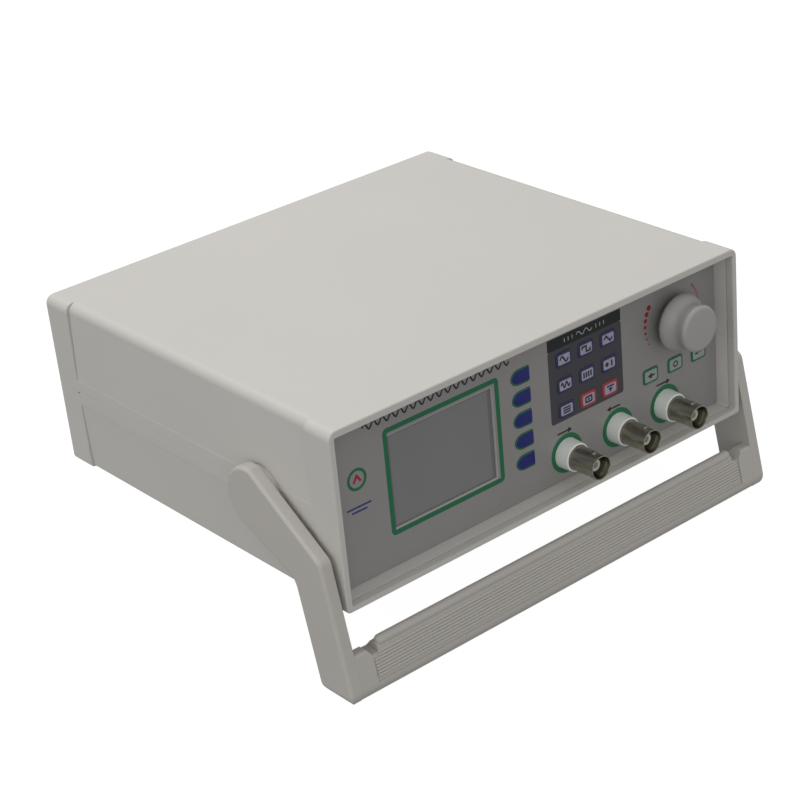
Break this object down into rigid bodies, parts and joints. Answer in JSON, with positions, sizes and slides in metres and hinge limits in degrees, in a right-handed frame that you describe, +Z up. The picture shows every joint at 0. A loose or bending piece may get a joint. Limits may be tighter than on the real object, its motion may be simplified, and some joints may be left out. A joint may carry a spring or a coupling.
{
  "type": "function generator",
  "caption": "Bench function generator: a flat two-part plastic case with a recessed key panel, display, tuning knob and coaxial sockets, standing on its tilting handle.",
  "frame": {"origin": "centre of the bounding box's base, on the surface that the instrument stands on", "axes": "+Z up from that surface, +X to the right as seen from the front, +Y from the front panel to the rear; the case itself leans back by 10.65 degrees about +X"},
  "size_m": [0.2132, 0.198, 0.1017],
  "materials": {
    "case_plastic": "light warm grey moulded ABS, fine matt texture",
    "panel_film": "silver-grey printed membrane film",
    "panel_plate": "plain grey backing plate",
    "window_plastic": "smoked clear display window, screen off",
    "blue_key": "dark blue printed key",
    "lavender_key": "lavender-grey printed key with a coloured frame",
    "green_key": "grey key with a green printed frame",
    "knob_plastic": "light grey moulded knob",
    "white_plastic": "white insulating collar",
    "black_plastic": "black moulded plastic",
    "nickel": "nickel-plated, slightly yellow",
    "brass": "gold-plated contact in its insulator",
    "steel": "plain steel",
    "aluminium": "extruded aluminium",
    "circuit_board": "green circuit board",
    "rubber": "black rubber"
  },
  "bodies": {
    "case": {"top_cover": "case_plastic", "bottom_cover": "case_plastic", "front_overlay": "panel_film", "front_panel": "panel_plate", "display_window": "window_plastic", "display_module": "steel", "key_switch_board": "circuit_board", "control_board": "circuit_board", "bnc_collar_1": "white_plastic", "bnc_collar_2": "white_plastic", "bnc_collar_3": "white_plastic", "bnc_shell_1": "nickel", "bnc_shell_2": "nickel", "bnc_shell_3": "nickel", "bnc_contact_1": "brass", "bnc_contact_2": "brass", "bnc_contact_3": "brass", "encoder_body": "black_plastic", "encoder_nut": "steel", "rear_panel": "case_plastic", "power_inlet": "black_plastic", "rocker_frame": "black_plastic", "power_supply_board": "circuit_board", "signal_board": "circuit_board", "transformer": "steel", "heat_sink": "aluminium", "handle_hub_left": "case_plastic", "handle_hub_right": "case_plastic", "front_left_foot": "rubber", "front_right_foot": "rubber", "rear_left_foot": "rubber", "rear_right_foot": "rubber", "front_left_case_screw": "steel", "front_right_case_screw": "steel", "rear_left_case_screw": "steel", "rear_right_case_screw": "steel"},
    "handle": {"handle_arm_left": "case_plastic", "handle_arm_right": "case_plastic", "handle_crossbar": "case_plastic", "handle_grip": "case_plastic"},
    "knob": {"knob": "knob_plastic", "encoder_shaft": "steel"},
    "rocker": {"rocker": "black_plastic"},
    "softkey_1": {"softkey_1": "blue_key"},
    "softkey_2": {"softkey_2": "blue_key"},
    "softkey_3": {"softkey_3": "blue_key"},
    "softkey_4": {"softkey_4": "blue_key"},
    "softkey_5": {"softkey_5": "blue_key"},
    "function_key_1": {"function_key_1": "lavender_key"},
    "function_key_2": {"function_key_2": "lavender_key"},
    "function_key_3": {"function_key_3": "lavender_key"},
    "function_key_4": {"function_key_4": "lavender_key"},
    "function_key_5": {"function_key_5": "lavender_key"},
    "function_key_6": {"function_key_6": "lavender_key"},
    "function_key_7": {"function_key_7": "lavender_key"},
    "function_key_8": {"function_key_8": "lavender_key"},
    "function_key_9": {"function_key_9": "lavender_key"},
    "arrow_left_key": {"arrow_left_key": "green_key"},
    "confirm_key": {"confirm_key": "green_key"},
    "arrow_right_key": {"arrow_right_key": "green_key"}
  },
  "joints": [
    {"name": "handle_swing", "type": "hinge", "parent": "case", "child": "handle", "pos_m": [0, -0.03903, 0.05745], "axis": [1, 0, 0], "range_deg": [-180, 90]},
    {"name": "knob_turn", "type": "hinge", "parent": "case", "child": "knob", "pos_m": [0.0723, -0.08467, 0.0815], "axis": [0, 0.9828, -0.1848], "continuous": true},
    {"name": "rocker_tilt", "type": "hinge", "parent": "case", "child": "rocker", "pos_m": [0.022, 0.08762, 0.03669], "axis": [1, 0, 0], "range_deg": [0, 24]},
    {"name": "softkey_1_press", "type": "slide", "parent": "case", "child": "softkey_1", "axis": [0, 0.9828, -0.1848], "range_m": [0, 0.0004], "stiffness_N_per_m": 400, "springref_m": -0.002},
    {"name": "softkey_2_press", "type": "slide", "parent": "case", "child": "softkey_2", "axis": [0, 0.9828, -0.1848], "range_m": [0, 0.0004], "stiffness_N_per_m": 400, "springref_m": -0.002},
    {"name": "softkey_3_press", "type": "slide", "parent": "case", "child": "softkey_3", "axis": [0, 0.9828, -0.1848], "range_m": [0, 0.0004], "stiffness_N_per_m": 400, "springref_m": -0.002},
    {"name": "softkey_4_press", "type": "slide", "parent": "case", "child": "softkey_4", "axis": [0, 0.9828, -0.1848], "range_m": [0, 0.0004], "stiffness_N_per_m": 400, "springref_m": -0.002},
    {"name": "softkey_5_press", "type": "slide", "parent": "case", "child": "softkey_5", "axis": [0, 0.9828, -0.1848], "range_m": [0, 0.0004], "stiffness_N_per_m": 400, "springref_m": -0.002},
    {"name": "function_key_1_press", "type": "slide", "parent": "case", "child": "function_key_1", "axis": [0, 0.9828, -0.1848], "range_m": [0, 0.0004], "stiffness_N_per_m": 400, "springref_m": -0.002},
    {"name": "function_key_2_press", "type": "slide", "parent": "case", "child": "function_key_2", "axis": [0, 0.9828, -0.1848], "range_m": [0, 0.0004], "stiffness_N_per_m": 400, "springref_m": -0.002},
    {"name": "function_key_3_press", "type": "slide", "parent": "case", "child": "function_key_3", "axis": [0, 0.9828, -0.1848], "range_m": [0, 0.0004], "stiffness_N_per_m": 400, "springref_m": -0.002},
    {"name": "function_key_4_press", "type": "slide", "parent": "case", "child": "function_key_4", "axis": [0, 0.9828, -0.1848], "range_m": [0, 0.0004], "stiffness_N_per_m": 400, "springref_m": -0.002},
    {"name": "function_key_5_press", "type": "slide", "parent": "case", "child": "function_key_5", "axis": [0, 0.9828, -0.1848], "range_m": [0, 0.0004], "stiffness_N_per_m": 400, "springref_m": -0.002},
    {"name": "function_key_6_press", "type": "slide", "parent": "case", "child": "function_key_6", "axis": [0, 0.9828, -0.1848], "range_m": [0, 0.0004], "stiffness_N_per_m": 400, "springref_m": -0.002},
    {"name": "function_key_7_press", "type": "slide", "parent": "case", "child": "function_key_7", "axis": [0, 0.9828, -0.1848], "range_m": [0, 0.0004], "stiffness_N_per_m": 400, "springref_m": -0.002},
    {"name": "function_key_8_press", "type": "slide", "parent": "case", "child": "function_key_8", "axis": [0, 0.9828, -0.1848], "range_m": [0, 0.0004], "stiffness_N_per_m": 400, "springref_m": -0.002},
    {"name": "function_key_9_press", "type": "slide", "parent": "case", "child": "function_key_9", "axis": [0, 0.9828, -0.1848], "range_m": [0, 0.0004], "stiffness_N_per_m": 400, "springref_m": -0.002},
    {"name": "arrow_left_key_press", "type": "slide", "parent": "case", "child": "arrow_left_key", "axis": [0, 0.9828, -0.1848], "range_m": [0, 0.0004], "stiffness_N_per_m": 400, "springref_m": -0.002},
    {"name": "confirm_key_press", "type": "slide", "parent": "case", "child": "confirm_key", "axis": [0, 0.9828, -0.1848], "range_m": [0, 0.0004], "stiffness_N_per_m": 400, "springref_m": -0.002},
    {"name": "arrow_right_key_press", "type": "slide", "parent": "case", "child": "arrow_right_key", "axis": [0, 0.9828, -0.1848], "range_m": [0, 0.0004], "stiffness_N_per_m": 400, "springref_m": -0.002}
  ]
}
